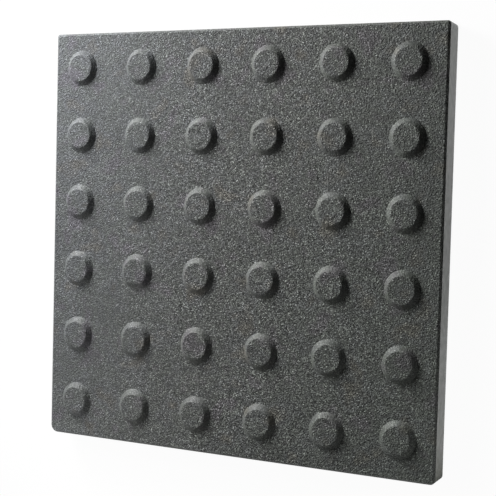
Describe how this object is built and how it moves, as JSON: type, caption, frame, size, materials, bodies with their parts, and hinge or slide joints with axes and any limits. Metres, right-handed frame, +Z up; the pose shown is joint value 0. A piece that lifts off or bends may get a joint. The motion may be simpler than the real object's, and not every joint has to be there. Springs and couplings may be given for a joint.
{
  "type": "tactile paving slab",
  "caption": "Square dark grey concrete paving slab with a grid of flat-topped round studs on its walking face, which warn people through their feet or a cane.",
  "frame": {"origin": "middle of the flat underside", "axes": "+Z up out of the studded face, +X and +Y along two sides of the square"},
  "size_m": [0.4, 0.4, 0.032],
  "materials": {
    "concrete": "dark grey pigmented concrete, fine sandy grain on the studded face, smooth from the mould on the sides and underside"
  },
  "bodies": {
    "root": {"tactile_slab": "concrete"}
  },
  "joints": []
}
